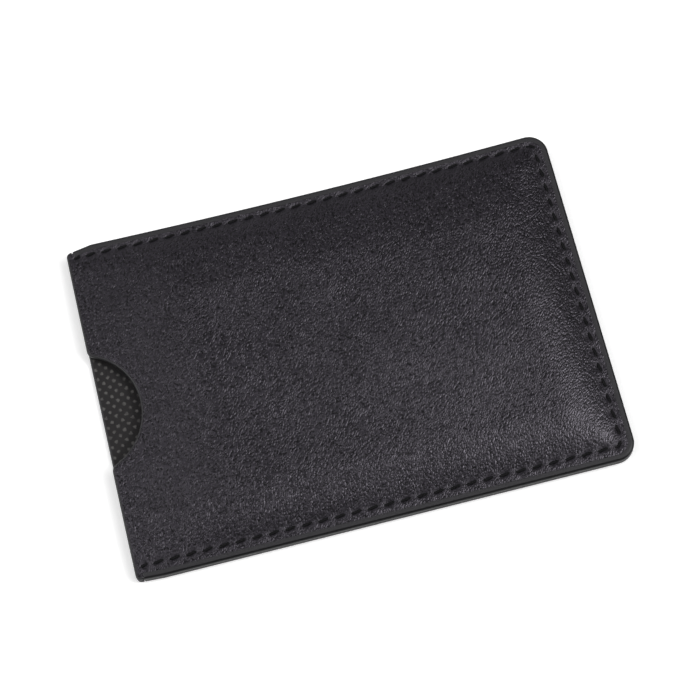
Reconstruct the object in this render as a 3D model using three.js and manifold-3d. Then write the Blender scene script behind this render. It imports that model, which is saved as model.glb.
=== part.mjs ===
// A slim card sleeve in black leather. Two lined and padded panels are sewn together along three
// sides and stay open along the fourth, the mouth, where the front panel has a half-round thumb notch.
//
// Millimetres, +Z up. The sleeve lies on its back, front panel up, with its length along X and the
// mouth at -X. The far long side is at +Y and the near one at -Y. The origin is under the middle of
// the sleeve, on the surface that it lies on.

import * as THREE from "three";
import { mergeVertices } from "three/addons/utils/BufferGeometryUtils.js";
import Module from "manifold-3d";

const wasm = await Module();
wasm.setup();

// Outline of the panels, over the edge paint
const LENGTH = 102;
const WIDTH = 72;
const CLOSED_CORNER_RADIUS = 4;
const MOUTH_CORNER_RADIUS = 1;
const MOUTH_TRIM_LENGTH = 5.5; // the long sides lean in over this length at the mouth
const FAR_MOUTH_TRIM = 0.9;
const NEAR_MOUTH_TRIM = 0.3;
const FAR_SIDE_DRAW = 0.6; // how far the seam draws in the middle of the far side

// Thumb notch in the front panel's mouth edge
const NOTCH_WIDTH = 24;
const NOTCH_DEPTH = 8.4;
const NOTCH_LIP_RADIUS = 1.2;

// Layers of one panel
const LEATHER_THICKNESS = 1;
const LINING_THICKNESS = 0.3;
const PADDING_THICKNESS = 0.4;
const GLUE_LINE = 0.05;
const PAINT_THICKNESS = 0.4;

// Padding sheets between the leather and the lining
const PADDING_FROM_MOUTH = 14;
const PADDING_FROM_SEAM = 3;
const PADDING_CORNER_RADIUS = 6;
const PADDING_LEAD = 2.5; // the lining starts to rise this far outside the padding
const PADDING_SKIVE = 6; // the padding's edge is pared thin over this width

// Seam along the far side, the closed end and the near side
const FAR_SEAM_INSET = 2.2;
const END_SEAM_INSET = 2.6;
const NEAR_SEAM_INSET = 2.95;
const SEAM_FROM_MOUTH = 1.1;
const SEAM_TURN_RADIUS = 1.2;
const SEAM_FLAT = 0.5; // flat margin on the inner side of the stitches
const SEAM_GAP = 0.1; // between the two linings under the seam
const STITCH_PITCH = 3.35;
const END_STITCH = 2.2; // the first and the last stitch, at the mouth, are shorter
const SLIT_LENGTH = 1.2;
const SLIT_WIDTH = 1;
const THREAD_WIDTH = 0.6;
const THREAD_HEIGHT = 0.44;
const THREAD_REST = 0.05; // clearance between a stitch and the leather, and where the threads lock

// Groove between the two panels in the painted sewn edge
const GROOVE_DEPTH = 0.2;
const GROOVE_HEIGHT = 0.4;

// Swell of the panels inside the seam
const CROWN = 1.3;
const MOUTH_CROWN = 0.7; // what is left of the crown at the mouth
const CROWN_RUN = 7.5;
const MOUTH_RUN = 40;
const BACK_LIFT = 0.6; // the seam's underside stays this far above the surface below
const BACK_RUN = 6;

// Fineness of the faceted shapes
const CURVE_DIVISIONS = 6;
const RISE_STEPS = 4;
const MOUTH_STEPS = 4;
const GRID_SPARE = 2;
const CUT_SPARE = 5;
const THREAD_SIDES = 4;
const NEAREST_POINTS = 1e-4;

// Places and heights that follow from the sizes above
const HALF_LENGTH = LENGTH / 2;
const HALF_WIDTH = WIDTH / 2;
const PANEL_THICKNESS = LEATHER_THICKNESS + LINING_THICKNESS + 2 * GLUE_LINE;
const SEAM_MIDDLE = BACK_LIFT + PANEL_THICKNESS + SEAM_GAP / 2;
const RIM_TOP = BACK_LIFT + 2 * PANEL_THICKNESS + SEAM_GAP;
const SWELL_END_X = HALF_LENGTH - END_SEAM_INSET - SEAM_FLAT;
const SWELL_FAR_Y = HALF_WIDTH - FAR_SEAM_INSET - SEAM_FLAT;
const SWELL_NEAR_Y = -HALF_WIDTH + NEAR_SEAM_INSET + SEAM_FLAT;
const FAR_SIDE_START_X = -HALF_LENGTH + MOUTH_TRIM_LENGTH;
const FAR_SIDE_END_X = HALF_LENGTH - CLOSED_CORNER_RADIUS;
const FAR_SIDE_MIDDLE_X = (FAR_SIDE_START_X + FAR_SIDE_END_X) / 2;
const FAR_SIDE_HALF = (FAR_SIDE_END_X - FAR_SIDE_START_X) / 2;
const PAINT_SPLIT_X = -HALF_LENGTH + MOUTH_CORNER_RADIUS + PAINT_THICKNESS;
const CUT_BOTTOM = -CUT_SPARE;
const CUT_TOP = RIM_TOP + CROWN + CUT_SPARE;

const { lerp, smoothstep } = THREE.MathUtils;

// Joining and cutting

function solidOf(geometry) {
  const bare = geometry.clone();
  bare.deleteAttribute("normal");
  bare.deleteAttribute("uv");
  const merged = mergeVertices(bare, NEAREST_POINTS);
  const mesh = new wasm.Mesh({
    numProp: 3,
    vertProperties: new Float32Array(merged.attributes.position.array),
    triVerts: new Uint32Array(merged.index.array),
  });
  return new wasm.Manifold(mesh);
}

function geometryOf(solid) {
  const { vertProperties, triVerts } = solid.getMesh();
  const geometry = new THREE.BufferGeometry();
  geometry.setAttribute("position", new THREE.BufferAttribute(vertProperties, 3));
  geometry.setIndex(new THREE.BufferAttribute(triVerts, 1));
  geometry.computeVertexNormals();
  return geometry;
}

function boxBetween(low, high) {
  const size = high.clone().sub(low);
  const middle = high.clone().add(low).multiplyScalar(0.5);
  const geometry = new THREE.BoxGeometry(size.x, size.y, size.z);
  geometry.translate(middle.x, middle.y, middle.z);
  return solidOf(geometry);
}

// Outlines

// How far the far side is drawn in at x: a parabola between the two ends of that side.
function farDraw(x) {
  const along = (x - FAR_SIDE_MIDDLE_X) / FAR_SIDE_HALF;
  return FAR_SIDE_DRAW * Math.max(1 - along * along, 0);
}

// The notch is part of a circle whose centre lies outside the mouth edge.
function cutNotch(shape) {
  const radius = (NOTCH_WIDTH ** 2 / 4 + NOTCH_DEPTH ** 2) / (2 * NOTCH_DEPTH);
  const centreX = -HALF_LENGTH + NOTCH_DEPTH - radius;
  const chordAngle = Math.atan2(NOTCH_WIDTH / 2, -HALF_LENGTH - centreX);
  const arcAngle = chordAngle - NOTCH_LIP_RADIUS / radius;
  const arcX = centreX + radius * Math.cos(arcAngle);
  const arcY = radius * Math.sin(arcAngle);
  shape.lineTo(-HALF_LENGTH, NOTCH_WIDTH / 2 + NOTCH_LIP_RADIUS);
  shape.quadraticCurveTo(-HALF_LENGTH, NOTCH_WIDTH / 2, arcX, arcY);
  shape.absarc(centreX, 0, radius, arcAngle, -arcAngle, true);
  shape.quadraticCurveTo(-HALF_LENGTH, -NOTCH_WIDTH / 2, -HALF_LENGTH, -NOTCH_WIDTH / 2 - NOTCH_LIP_RADIUS);
}

// Counter-clockwise points round a panel, over its edge paint.
function panelOutline({ notched }) {
  const closedX = HALF_LENGTH - CLOSED_CORNER_RADIUS;
  const closedY = HALF_WIDTH - CLOSED_CORNER_RADIUS;
  const farCorner = new THREE.Vector2(-HALF_LENGTH, HALF_WIDTH - FAR_MOUTH_TRIM);
  const nearCorner = new THREE.Vector2(-HALF_LENGTH, -HALF_WIDTH + NEAR_MOUTH_TRIM);
  const farStart = new THREE.Vector2(FAR_SIDE_START_X, HALF_WIDTH);
  const nearStart = new THREE.Vector2(FAR_SIDE_START_X, -HALF_WIDTH);
  const farTurn = farStart.clone().sub(farCorner).setLength(MOUTH_CORNER_RADIUS).add(farCorner);
  const nearTurn = nearStart.clone().sub(nearCorner).setLength(MOUTH_CORNER_RADIUS).add(nearCorner);
  const shape = new THREE.Shape();
  shape.moveTo(nearStart.x, nearStart.y);
  shape.absarc(closedX, -closedY, CLOSED_CORNER_RADIUS, -Math.PI / 2, 0);
  shape.absarc(closedX, closedY, CLOSED_CORNER_RADIUS, 0, Math.PI / 2);
  shape.quadraticCurveTo(FAR_SIDE_MIDDLE_X, HALF_WIDTH - 2 * FAR_SIDE_DRAW, farStart.x, farStart.y);
  shape.lineTo(farTurn.x, farTurn.y);
  shape.quadraticCurveTo(farCorner.x, farCorner.y, farCorner.x, farCorner.y - MOUTH_CORNER_RADIUS);
  if (notched) cutNotch(shape);
  shape.lineTo(nearCorner.x, nearCorner.y + MOUTH_CORNER_RADIUS);
  shape.quadraticCurveTo(nearCorner.x, nearCorner.y, nearTurn.x, nearTurn.y);
  return withoutRepeats(shape.getPoints(CURVE_DIVISIONS));
}

function withoutRepeats(points) {
  return points.filter((point, i) => point.distanceTo(points.at(i - 1)) > NEAREST_POINTS);
}

function inwardNormal(from, to) {
  const along = to.clone().sub(from).normalize();
  return new THREE.Vector2(-along.y, along.x);
}

// The outline moved inwards, each point along the bisector of the two sides that meet there.
function insetOutline(points, distance) {
  return points.map((point, i) => {
    const before = points.at(i - 1);
    const after = points[(i + 1) % points.length];
    const bisector = inwardNormal(before, point).add(inwardNormal(point, after));
    return point.clone().addScaledVector(bisector, (2 * distance) / bisector.lengthSq());
  });
}

function prismOf(points, bottom = CUT_BOTTOM, top = CUT_TOP) {
  const shape = new THREE.Shape(points);
  const geometry = new THREE.ExtrudeGeometry(shape, { depth: top - bottom, bevelEnabled: false });
  geometry.translate(0, 0, bottom);
  return solidOf(geometry);
}

// A band of the given depth along the inside of an outline.
function bandOf(points, depth, bottom, top) {
  const core = prismOf(insetOutline(points, depth));
  return prismOf(points, bottom, top).subtract(core);
}

// Heights of the layers

// 0 on the seam and outside it, rising to 1 a given run inside it. The mouth has no seam.
function insideSeam(x, y, run) {
  const fromFar = SWELL_FAR_Y - farDraw(x) - y;
  const fromNear = y - SWELL_NEAR_Y;
  const fromEnd = SWELL_END_X - x;
  return smoothstep(fromFar, 0, run) * smoothstep(fromNear, 0, run) * smoothstep(fromEnd, 0, run);
}

function frontFace(x, y) {
  const crown = lerp(MOUTH_CROWN, CROWN, smoothstep(x + HALF_LENGTH, 0, MOUTH_RUN));
  return RIM_TOP + crown * insideSeam(x, y, CROWN_RUN);
}

function backFace(x, y) {
  return BACK_LIFT * (1 - insideSeam(x, y, BACK_RUN));
}

// Low and high corners of the padding sheets, which stop short of the seam and of the notch.
const paddingLow = new THREE.Vector2(
  -HALF_LENGTH + PADDING_FROM_MOUTH,
  -HALF_WIDTH + NEAR_SEAM_INSET + PADDING_FROM_SEAM,
);
const paddingHigh = new THREE.Vector2(
  HALF_LENGTH - END_SEAM_INSET - PADDING_FROM_SEAM,
  HALF_WIDTH - FAR_SIDE_DRAW - FAR_SEAM_INSET - PADDING_FROM_SEAM,
);

function paddingDepth(x, y) {
  const rise = (inside) => smoothstep(inside, -PADDING_LEAD, PADDING_SKIVE);
  const alongX = rise(x - paddingLow.x) * rise(paddingHigh.x - x);
  const alongY = rise(y - paddingLow.y) * rise(paddingHigh.y - y);
  return PADDING_THICKNESS * alongX * alongY;
}

function frontLiningTop(x, y) {
  return frontFace(x, y) - LEATHER_THICKNESS - 2 * GLUE_LINE - paddingDepth(x, y);
}

function backLiningBottom(x, y) {
  return backFace(x, y) + LEATHER_THICKNESS + 2 * GLUE_LINE + paddingDepth(x, y);
}

function frontLiningBottom(x, y) {
  return frontLiningTop(x, y) - LINING_THICKNESS;
}

function backLiningTop(x, y) {
  return backLiningBottom(x, y) + LINING_THICKNESS;
}

// Sheets between two such heights, all on one grid so that no layer cuts into the next

function linesBetween(from, to, steps) {
  return Array.from({ length: steps + 1 }, (_, i) => lerp(from, to, i / steps));
}

const gridX = [
  -HALF_LENGTH - GRID_SPARE,
  ...linesBetween(-HALF_LENGTH, -HALF_LENGTH + MOUTH_RUN, MOUTH_STEPS),
  ...linesBetween(SWELL_END_X - CROWN_RUN, SWELL_END_X, RISE_STEPS),
  HALF_LENGTH + GRID_SPARE,
].sort((a, b) => a - b);

const gridY = [
  -HALF_WIDTH - GRID_SPARE,
  ...linesBetween(SWELL_NEAR_Y, SWELL_NEAR_Y + CROWN_RUN, RISE_STEPS),
  ...linesBetween(SWELL_FAR_Y - CROWN_RUN, SWELL_FAR_Y, RISE_STEPS),
  HALF_WIDTH + GRID_SPARE,
].sort((a, b) => a - b);

// The numbers of the grid's points round its border, counter-clockwise.
function gridBorder(columns, rows) {
  const border = [];
  for (let column = 0; column < columns - 1; column++) border.push(column);
  for (let row = 0; row < rows - 1; row++) border.push(row * columns + columns - 1);
  for (let column = columns - 1; column > 0; column--) border.push((rows - 1) * columns + column);
  for (let row = rows - 1; row > 0; row--) border.push(row * columns);
  return border;
}

function sheetBetween(lower, upper) {
  const columns = gridX.length;
  const rows = gridY.length;
  const above = columns * rows;
  const places = gridY.flatMap((y) => gridX.map((x) => [x, y]));
  const bottom = places.flatMap(([x, y]) => [x, y, lower(x, y)]);
  const top = places.flatMap(([x, y]) => [x, y, upper(x, y)]);
  const faces = [];
  for (let row = 0; row < rows - 1; row++) {
    for (let column = 0; column < columns - 1; column++) {
      const a = row * columns + column;
      const b = a + 1;
      const c = a + columns;
      const d = c + 1;
      faces.push(a, c, b, b, c, d);
      faces.push(above + a, above + b, above + c, above + b, above + d, above + c);
    }
  }
  const border = gridBorder(columns, rows);
  border.forEach((p, i) => {
    const q = border[(i + 1) % border.length];
    faces.push(p, q, above + q, p, above + q, above + p);
  });
  const geometry = new THREE.BufferGeometry();
  geometry.setAttribute("position", new THREE.Float32BufferAttribute([...bottom, ...top], 3));
  geometry.setIndex(faces);
  return solidOf(geometry);
}

// The seam: one line of slits, and a thread on each face that dips through them to the other

function seamLine() {
  const startX = -HALF_LENGTH + SEAM_FROM_MOUTH;
  const endX = HALF_LENGTH - END_SEAM_INSET;
  const farY = HALF_WIDTH - FAR_SEAM_INSET;
  const nearY = -HALF_WIDTH + NEAR_SEAM_INSET;
  const turnX = endX - SEAM_TURN_RADIUS;
  const line = new THREE.Path();
  line.moveTo(startX, farY);
  line.lineTo(FAR_SIDE_START_X, farY);
  line.quadraticCurveTo(FAR_SIDE_MIDDLE_X, farY - 2 * FAR_SIDE_DRAW, FAR_SIDE_END_X, farY);
  line.absarc(turnX, farY - SEAM_TURN_RADIUS, SEAM_TURN_RADIUS, Math.PI / 2, 0, true);
  line.absarc(turnX, nearY + SEAM_TURN_RADIUS, SEAM_TURN_RADIUS, 0, -Math.PI / 2, true);
  line.lineTo(startX, nearY);
  return line;
}

const seam = seamLine();
const seamHoles = holesAlong(seam.getLength());

// Distances along the seam of the holes that the threads pass through.
function holesAlong(length) {
  const count = Math.round((length - 2 * END_STITCH) / STITCH_PITCH);
  return [0, ...linesBetween(END_STITCH, length - END_STITCH, count), length];
}

function seamPlace(distance) {
  const share = Math.min(distance / seam.getLength(), 1);
  return { point: seam.getPointAt(share), along: seam.getTangentAt(share) };
}

function seamSlits() {
  const makeSlit = (hole) => {
    const { point, along } = seamPlace(hole);
    const slit = new THREE.BoxGeometry(SLIT_LENGTH, SLIT_WIDTH, CUT_TOP - CUT_BOTTOM);
    slit.rotateZ(along.angle());
    slit.translate(point.x, point.y, (CUT_TOP + CUT_BOTTOM) / 2);
    return solidOf(slit);
  };
  return seamHoles.map(makeSlit).reduce((slits, slit) => slits.add(slit));
}

// Places along the seam and heights of a thread's middle: down at each hole, up between two holes.
function threadWave(dip, rest) {
  const wave = [{ distance: seamHoles[0], height: dip }];
  for (let number = 1; number < seamHoles.length; number++) {
    wave.push({ distance: seamHoles[number - 1] + SLIT_LENGTH / 2, height: rest });
    wave.push({ distance: seamHoles[number] - SLIT_LENGTH / 2, height: rest });
    wave.push({ distance: seamHoles[number], height: dip });
  }
  return wave;
}

function threadGeometry(wave) {
  const points = wave.flatMap(({ distance, height }) => {
    const { point, along } = seamPlace(distance);
    return Array.from({ length: THREAD_SIDES }, (_, side) => {
      const angle = (2 * Math.PI * side) / THREAD_SIDES;
      const across = (THREAD_WIDTH / 2) * Math.cos(angle);
      const rise = (THREAD_HEIGHT / 2) * Math.sin(angle);
      return [point.x - across * along.y, point.y + across * along.x, height + rise];
    });
  });
  const faces = [];
  for (let ring = 0; ring < wave.length - 1; ring++) {
    for (let side = 0; side < THREAD_SIDES; side++) {
      const a = ring * THREAD_SIDES + side;
      const b = ring * THREAD_SIDES + ((side + 1) % THREAD_SIDES);
      faces.push(a, b, b + THREAD_SIDES, a, b + THREAD_SIDES, a + THREAD_SIDES);
    }
  }
  const last = (wave.length - 1) * THREAD_SIDES;
  for (let side = 1; side < THREAD_SIDES - 1; side++) {
    faces.push(0, side + 1, side);
    faces.push(last, last + side, last + side + 1);
  }
  const geometry = new THREE.BufferGeometry();
  geometry.setAttribute("position", new THREE.Float32BufferAttribute(points.flat(), 3));
  geometry.setIndex(faces);
  geometry.computeVertexNormals();
  return geometry;
}

// Sub-parts

const frontOutline = panelOutline({ notched: true });
const backOutline = panelOutline({ notched: false });
const frontPanel = prismOf(insetOutline(frontOutline, PAINT_THICKNESS + GLUE_LINE)).subtract(seamSlits());
const backPanel = prismOf(insetOutline(backOutline, PAINT_THICKNESS + GLUE_LINE)).subtract(seamSlits());

function frontLeather() {
  const lower = (x, y) => frontFace(x, y) - LEATHER_THICKNESS;
  return geometryOf(sheetBetween(lower, frontFace).intersect(frontPanel));
}

function backLeather() {
  const upper = (x, y) => backFace(x, y) + LEATHER_THICKNESS;
  return geometryOf(sheetBetween(backFace, upper).intersect(backPanel));
}

function frontLining() {
  return geometryOf(sheetBetween(frontLiningBottom, frontLiningTop).intersect(frontPanel));
}

function backLining() {
  return geometryOf(sheetBetween(backLiningBottom, backLiningTop).intersect(backPanel));
}

function paddingOutline() {
  const radius = PADDING_CORNER_RADIUS;
  const shape = new THREE.Shape();
  shape.moveTo(paddingLow.x + radius, paddingLow.y);
  shape.absarc(paddingHigh.x - radius, paddingLow.y + radius, radius, -Math.PI / 2, 0);
  shape.absarc(paddingHigh.x - radius, paddingHigh.y - radius, radius, 0, Math.PI / 2);
  shape.absarc(paddingLow.x + radius, paddingHigh.y - radius, radius, Math.PI / 2, Math.PI);
  shape.absarc(paddingLow.x + radius, paddingLow.y + radius, radius, Math.PI, 1.5 * Math.PI);
  return withoutRepeats(shape.getPoints(CURVE_DIVISIONS));
}

function frontPadding() {
  const upper = (x, y) => frontFace(x, y) - LEATHER_THICKNESS - GLUE_LINE;
  const lower = (x, y) => upper(x, y) - paddingDepth(x, y);
  return geometryOf(sheetBetween(lower, upper).intersect(prismOf(paddingOutline())));
}

function backPadding() {
  const lower = (x, y) => backFace(x, y) + LEATHER_THICKNESS + GLUE_LINE;
  const upper = (x, y) => lower(x, y) + paddingDepth(x, y);
  return geometryOf(sheetBetween(lower, upper).intersect(prismOf(paddingOutline())));
}

// The strip at the mouth, and the room round the notch, where each panel has its own edge paint.
function mouthZone() {
  const splitX = PAINT_SPLIT_X - GLUE_LINE / 2;
  const notchX = -HALF_LENGTH + NOTCH_DEPTH + 2 * PAINT_THICKNESS;
  const notchY = NOTCH_WIDTH / 2 + NOTCH_LIP_RADIUS;
  const outside = -HALF_LENGTH - CUT_SPARE;
  const strip = boxBetween(
    new THREE.Vector3(outside, -HALF_WIDTH - CUT_SPARE, CUT_BOTTOM),
    new THREE.Vector3(splitX, HALF_WIDTH + CUT_SPARE, CUT_TOP),
  );
  const room = boxBetween(
    new THREE.Vector3(outside, -notchY, CUT_BOTTOM),
    new THREE.Vector3(notchX, notchY, CUT_TOP),
  );
  return strip.add(room);
}

function frontMouthPaint() {
  const band = bandOf(frontOutline, PAINT_THICKNESS).intersect(mouthZone());
  return geometryOf(sheetBetween(frontLiningBottom, frontFace).intersect(band));
}

function backMouthPaint() {
  const band = bandOf(backOutline, PAINT_THICKNESS).intersect(mouthZone());
  return geometryOf(sheetBetween(backFace, backLiningTop).intersect(band));
}

// One coat over both panels' edges on the three sewn sides, with a groove where the panels meet.
function sewnEdgePaint() {
  const sides = boxBetween(
    new THREE.Vector3(PAINT_SPLIT_X + GLUE_LINE / 2, -HALF_WIDTH - CUT_SPARE, CUT_BOTTOM),
    new THREE.Vector3(HALF_LENGTH + CUT_SPARE, HALF_WIDTH + CUT_SPARE, CUT_TOP),
  );
  const grooveBottom = SEAM_MIDDLE - GROOVE_HEIGHT / 2;
  const grooveTop = SEAM_MIDDLE + GROOVE_HEIGHT / 2;
  const groove = bandOf(backOutline, GROOVE_DEPTH, grooveBottom, grooveTop);
  const band = bandOf(backOutline, PAINT_THICKNESS).intersect(sides).subtract(groove);
  return geometryOf(sheetBetween(backFace, frontFace).intersect(band));
}

function needleThread() {
  const dip = SEAM_MIDDLE + THREAD_REST / 2 + THREAD_HEIGHT / 2;
  const rest = RIM_TOP + THREAD_REST + THREAD_HEIGHT / 2;
  return threadGeometry(threadWave(dip, rest));
}

function bobbinThread() {
  const dip = SEAM_MIDDLE - THREAD_REST / 2 - THREAD_HEIGHT / 2;
  const rest = BACK_LIFT - THREAD_REST - THREAD_HEIGHT / 2;
  return threadGeometry(threadWave(dip, rest));
}

// Materials

const leather = new THREE.MeshStandardMaterial({ color: 0x2c2a2d, roughness: 0.5, metalness: 0 });
const lining = new THREE.MeshStandardMaterial({ color: 0x26252a, roughness: 0.9, metalness: 0 });
const padding = new THREE.MeshStandardMaterial({ color: 0xcfccc4, roughness: 1, metalness: 0 });
const paint = new THREE.MeshStandardMaterial({ color: 0x1d1c1f, roughness: 0.4, metalness: 0 });
const thread = new THREE.MeshStandardMaterial({ color: 0x19181b, roughness: 0.75, metalness: 0 });

// Assembly

const wallet = new THREE.Group();

function place(name, geometry, material) {
  const mesh = new THREE.Mesh(geometry, material);
  mesh.name = name;
  wallet.add(mesh);
}

place("front_leather", frontLeather(), leather);
place("front_padding", frontPadding(), padding);
place("front_lining", frontLining(), lining);
place("front_mouth_paint", frontMouthPaint(), paint);
place("back_leather", backLeather(), leather);
place("back_padding", backPadding(), padding);
place("back_lining", backLining(), lining);
place("back_mouth_paint", backMouthPaint(), paint);
place("sewn_edge_paint", sewnEdgePaint(), paint);
place("needle_thread", needleThread(), thread);
place("bobbin_thread", bobbinThread(), thread);

export default wallet;
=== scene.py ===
"""A slim black leather card sleeve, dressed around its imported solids.

Two lined and padded leather panels are sewn together on three sides and stay open at the mouth, at -X.
Sizes are in millimetres in the part's own frame, and become metres when a mesh is made.
"""

import math

import bpy
import numpy as np
from mathutils import Matrix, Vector
from mathutils.geometry import delaunay_2d_cdt
from mathutils.kdtree import KDTree


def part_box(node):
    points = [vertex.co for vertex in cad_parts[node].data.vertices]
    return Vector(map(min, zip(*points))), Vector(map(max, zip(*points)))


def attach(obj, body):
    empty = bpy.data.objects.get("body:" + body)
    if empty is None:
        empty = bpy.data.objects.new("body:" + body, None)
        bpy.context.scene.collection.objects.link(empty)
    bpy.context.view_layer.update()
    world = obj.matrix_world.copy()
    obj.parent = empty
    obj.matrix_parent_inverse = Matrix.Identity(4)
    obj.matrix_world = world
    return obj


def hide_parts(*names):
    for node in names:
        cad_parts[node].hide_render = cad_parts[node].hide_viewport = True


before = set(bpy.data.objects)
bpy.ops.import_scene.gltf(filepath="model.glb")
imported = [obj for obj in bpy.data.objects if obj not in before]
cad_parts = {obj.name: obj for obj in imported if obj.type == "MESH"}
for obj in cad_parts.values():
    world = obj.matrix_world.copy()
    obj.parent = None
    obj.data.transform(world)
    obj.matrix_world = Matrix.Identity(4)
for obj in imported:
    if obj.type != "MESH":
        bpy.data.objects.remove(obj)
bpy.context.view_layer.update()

MM = 0.001
BODY = "root"


def box_of(node):
    """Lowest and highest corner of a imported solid, in millimetres."""
    low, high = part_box(node)
    return np.array(low) / MM, np.array(high) / MM


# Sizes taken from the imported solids
rim_low, rim_high = box_of("sewn_edge_paint")
HALF_LENGTH = rim_high[0]
HALF_WIDTH = -rim_low[1]
BACK_LIFT = rim_low[2]
RIM_TOP = rim_high[2]
CROWN = box_of("front_leather")[1][2] - RIM_TOP
SEAM_MIDDLE = (BACK_LIFT + RIM_TOP) / 2

# Outline of the panels, over the edge paint
CLOSED_CORNER_RADIUS = 4
MOUTH_CORNER_RADIUS = 1
MOUTH_TRIM_LENGTH = 5.5
FAR_MOUTH_TRIM = 0.9
NEAR_MOUTH_TRIM = 0.3
FAR_SIDE_DRAW = 0.6
NOTCH_WIDTH = 24
NOTCH_DEPTH = 8.4
NOTCH_LIP_RADIUS = 1.2

# Layers of one panel
LEATHER_THICKNESS = 1
LINING_THICKNESS = 0.3
PADDING_THICKNESS = 0.4
GLUE_LINE = 0.05
PAINT_THICKNESS = 0.4

# Padding sheets between the leather and the lining
PADDING_FROM_MOUTH = 14
PADDING_FROM_SEAM = 3
PADDING_CORNER_RADIUS = 6
PADDING_LEAD = 2.5
PADDING_SKIVE = 6

# Seam along the far side, the closed end and the near side
FAR_SEAM_INSET = 2.2
END_SEAM_INSET = 2.6
NEAR_SEAM_INSET = 2.95
SEAM_FROM_MOUTH = 1.1
SEAM_TURN_RADIUS = 1.2
SEAM_FLAT = 0.5
STITCH_PITCH = 3.35
END_STITCH = 2.2
STITCH_SLANT = 0.11  # sideways swing of the thread, from one end of a stitch to its middle
WELL_HALF_LENGTH = 1
END_WELL_HALF_LENGTH = 0.68  # shorter along the closed end
WELL_HALF_WIDTH = 0.36
END_WELL_HALF_WIDTH = 0.44
END_WELL_BLEND = (2, 0.5)  # how far inside the end's seam the wells start to shorten, and are short
WELL_DEPTH = 0.22
THREAD_RADIUS = 0.3
THREAD_SINK = 0.2  # how far the middle of a stitch lies below the leather's face
THREAD_LAY = 2.2  # length in which the three plies turn once
THREAD_FLAT = 0.75  # half length of the level part of a stitch

# Swell of the panels inside the seam
PUFFED = 1.15  # the leather's crown against the plain solid's
MOUTH_CROWN = 0.43
MOUTH_RUN = 24
FAR_RUN = 13.8
NEAR_RUN = 9.7
END_RUN = 9.6
DIP_RUN = 4.6
DIP_SHARE = 0.45
RELIEF_RUN = 7.5
BACK_RUN = 6

# Fineness of the meshes
RING_STEP = 0.22
UNDERSIDE_STRIDE = 6
FILL_STEP = 0.9
FILL_CLEARANCE = 0.6  # least gap between a fill and the loop around it, as a share of a step
UNDERSIDE_STEP = 2.4
TRACE_STEP = 0.04  # spacing of the points that distances are measured from
ARC_POINTS = 48
BEND_POINTS = 24
FAR_SIDE_POINTS = 80
FAR_SEAM_POINTS = 160

# Places that follow from the sizes above
FAR_SIDE_START_X = -HALF_LENGTH + MOUTH_TRIM_LENGTH
FAR_SIDE_END_X = HALF_LENGTH - CLOSED_CORNER_RADIUS
FAR_SIDE_MIDDLE_X = (FAR_SIDE_START_X + FAR_SIDE_END_X) / 2
FAR_SIDE_HALF = (FAR_SIDE_END_X - FAR_SIDE_START_X) / 2
SWELL_END_X = HALF_LENGTH - END_SEAM_INSET - SEAM_FLAT
SWELL_FAR_Y = HALF_WIDTH - FAR_SEAM_INSET - SEAM_FLAT
SEAM_NEAR_Y = -HALF_WIDTH + NEAR_SEAM_INSET
SWELL_NEAR_Y = SEAM_NEAR_Y + SEAM_FLAT
PAINT_SPLIT_X = -HALF_LENGTH + MOUTH_CORNER_RADIUS + PAINT_THICKNESS
PANEL_THICKNESS = LEATHER_THICKNESS + LINING_THICKNESS + 2 * GLUE_LINE


# Curves in the plane

def smooth(value, low, high):
    """0 below low, 1 above high, with an even ease between them."""
    t = np.clip((value - low) / (high - low), 0, 1)
    return t * t * (3 - 2 * t)


def far_draw(x):
    """How far the seam draws in the far side at x."""
    along = (x - FAR_SIDE_MIDDLE_X) / FAR_SIDE_HALF
    return FAR_SIDE_DRAW * np.maximum(1 - along * along, 0)


def arc(centre, radius, start, end):
    angle = np.linspace(start, end, ARC_POINTS)
    return np.stack([centre[0] + radius * np.cos(angle), centre[1] + radius * np.sin(angle)], 1)


def bend(start, corner, end):
    """A quadratic curve from start to end that leans towards the corner."""
    t = np.linspace(0, 1, BEND_POINTS)[:, None]
    start, corner, end = (np.array(point, float) for point in (start, corner, end))
    return (1 - t) ** 2 * start + 2 * t * (1 - t) * corner + t ** 2 * end


def lengths_along(points):
    steps = np.hypot(*np.diff(points, axis=0).T)
    return np.concatenate([[0], np.cumsum(steps)])


def at_lengths(points, where):
    along = lengths_along(points)
    return np.stack([np.interp(where, along, points[:, axis]) for axis in range(points.shape[1])], 1)


def evenly(points, count):
    """That many points at even lengths along a line, both ends among them."""
    return at_lengths(points, np.linspace(0, lengths_along(points)[-1], count))


def directions(points, closed=False):
    """Unit directions along a line, taken across each point."""
    if closed:
        step = np.roll(points, -1, axis=0) - np.roll(points, 1, axis=0)
    else:
        step = np.gradient(points, axis=0)
    return step / np.linalg.norm(step, axis=1, keepdims=True)


def to_left(along):
    return np.stack([-along[:, 1], along[:, 0]], 1)


def towards(start, end, distance):
    """The place that far from the start on the way to the end."""
    way = end - start
    return start + distance * way / np.linalg.norm(way)


def ring_of_points(loop, step):
    """A closed loop as points about a step apart, in a number that the coarser far face can share."""
    closed = np.concatenate([loop, loop[:1]])
    count = round(lengths_along(closed)[-1] / step / UNDERSIDE_STRIDE) * UNDERSIDE_STRIDE
    return evenly(closed, count + 1)[:-1]


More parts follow.
